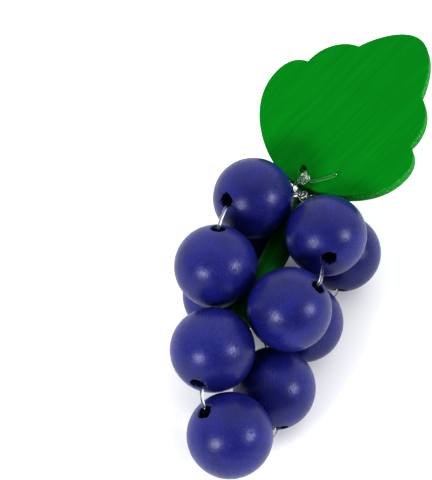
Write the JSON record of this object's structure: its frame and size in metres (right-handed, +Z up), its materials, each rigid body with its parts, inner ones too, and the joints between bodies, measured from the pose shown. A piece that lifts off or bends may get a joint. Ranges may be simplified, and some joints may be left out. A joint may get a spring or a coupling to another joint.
{
  "type": "wooden toy bunch of grapes",
  "caption": "Bunch of round blue wooden beads strung on clear nylon line round a green stem, with a flat green wooden leaf tied on, lying down.",
  "frame": {"origin": "on the surface the bunch lies on, under the middle of its bounding box", "axes": "+Z up; +Y along the bunch from its lowest grape to its leaf; +X towards the leaf's side"},
  "size_m": [0.0818, 0.1396, 0.0565],
  "materials": {
    "bead_paint": "satin deep blue stain over close-grained wood, with small pits and a rougher edge at each bore",
    "leaf_paint": "satin leaf-green stain with the plywood's straight grain showing through",
    "stem_paint": "satin dark green stain on turned dowel",
    "nylon": "clear glossy monofilament"
  },
  "bodies": {
    "root": {"front_bead_1": "bead_paint", "front_bead_2": "bead_paint", "front_bead_3": "bead_paint", "front_bead_4": "bead_paint", "front_bead_5": "bead_paint", "front_bead_6": "bead_paint", "front_bead_7": "bead_paint", "back_bead_1": "bead_paint", "back_bead_2": "bead_paint", "back_bead_3": "bead_paint", "back_bead_4": "bead_paint", "stem": "stem_paint", "leaf": "leaf_paint", "front_line": "nylon", "back_line": "nylon", "leaf_tie_over": "nylon", "leaf_tie_under": "nylon", "leaf_tie_tail": "nylon", "stem_knot": "nylon", "leaf_knot": "nylon"}
  },
  "joints": []
}
